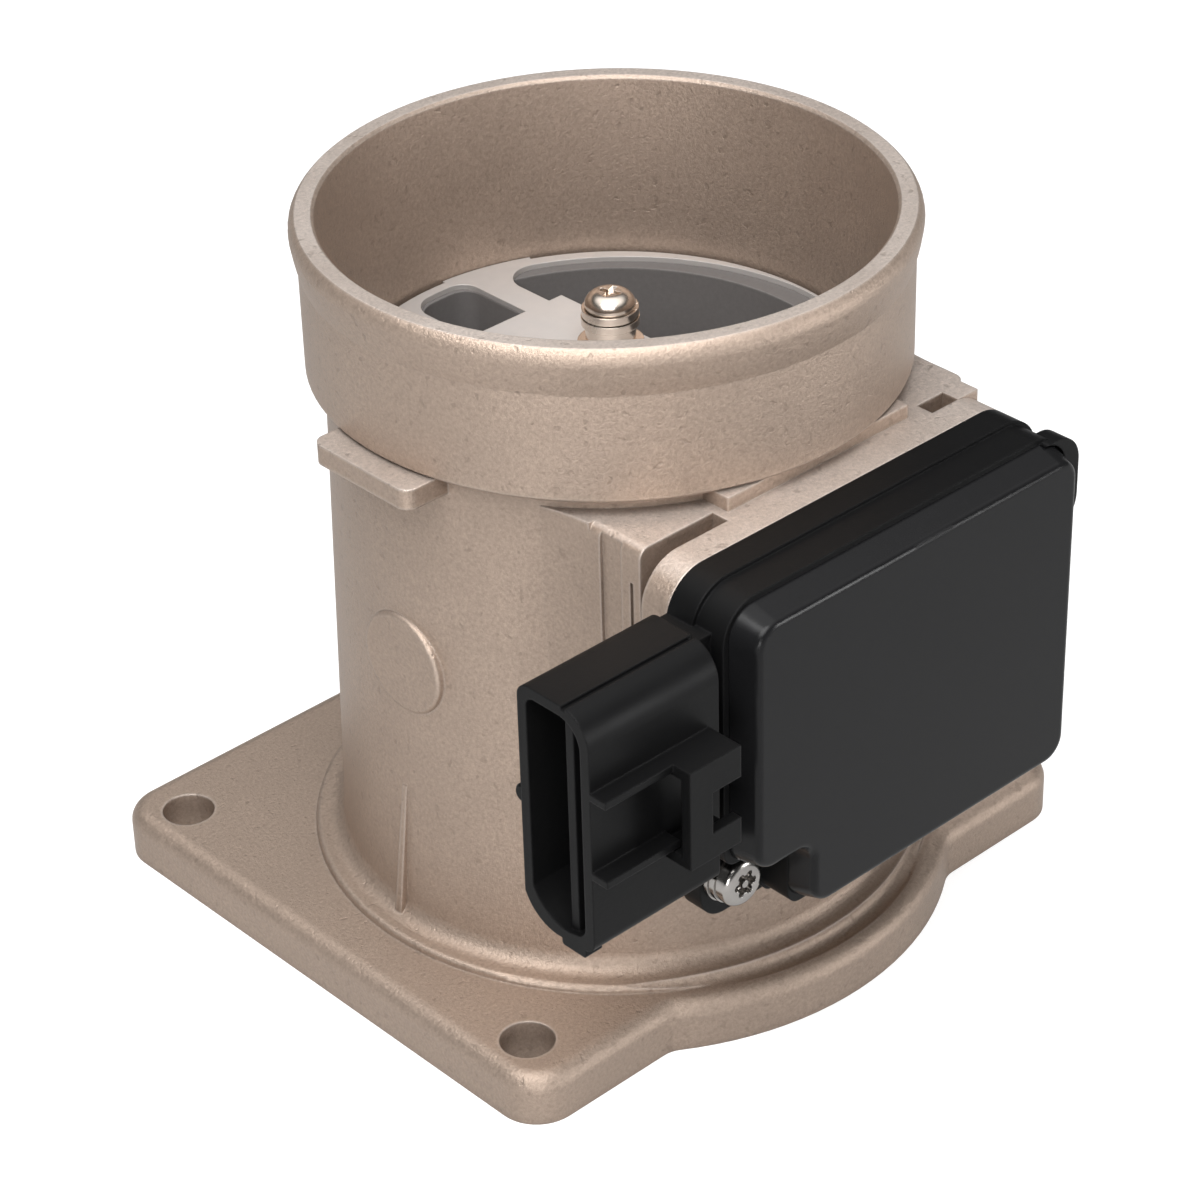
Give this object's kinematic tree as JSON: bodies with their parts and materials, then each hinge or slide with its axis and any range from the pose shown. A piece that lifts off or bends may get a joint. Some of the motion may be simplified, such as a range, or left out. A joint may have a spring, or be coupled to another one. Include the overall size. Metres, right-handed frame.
{
  "type": "mass airflow sensor",
  "caption": "Air flow sensor with a cast round bore, square bolt flange, hose sleeve, and a black electronics module with a connector socket on its side.",
  "frame": {"origin": "centre of the inlet bore at the flange's lower face", "axes": "+Z along the bore from the flange to the hose sleeve, the way the air flows; the electronics module is on the -Y side and its connector socket opens towards -X"},
  "size_m": [0.1082, 0.1129, 0.103],
  "materials": {
    "cast_aluminium": "as-cast, fine grained, matte",
    "duct_plastic": "moulded, matte",
    "sheet_metal": "stamped, satin",
    "plated_steel": "nickel plated",
    "seal_rubber": "matte",
    "housing_plastic": "moulded, satin",
    "cover_plastic": "moulded, semi-gloss",
    "board": "solder mask",
    "chip_plastic": "matte",
    "chip_ceramic": "sintered",
    "tinned_brass": "tin plated"
  },
  "bodies": {
    "root": {"body_casting": "cast_aluminium", "bypass_insert": "duct_plastic", "bypass_cover_plate": "sheet_metal", "screw_collar": "plated_steel", "plain_washer": "plated_steel", "spring_washer": "plated_steel", "cover_plate_screw": "plated_steel", "flange_seal": "seal_rubber", "module_housing": "housing_plastic", "module_cover": "cover_plastic", "module_gasket": "seal_rubber", "heat_plate": "sheet_metal", "circuit_board": "board", "control_chip": "chip_plastic", "output_transistor": "chip_plastic", "board_capacitors": "chip_ceramic", "terminals": "tinned_brass", "sensor_holder": "duct_plastic", "sensor_pins": "plated_steel", "hot_element": "chip_ceramic", "cold_element": "chip_ceramic", "holder_seal": "seal_rubber", "corner_screw": "plated_steel", "corner_spring_washer": "plated_steel", "corner_plain_washer": "plated_steel", "inner_screws": "plated_steel"}
  },
  "joints": []
}
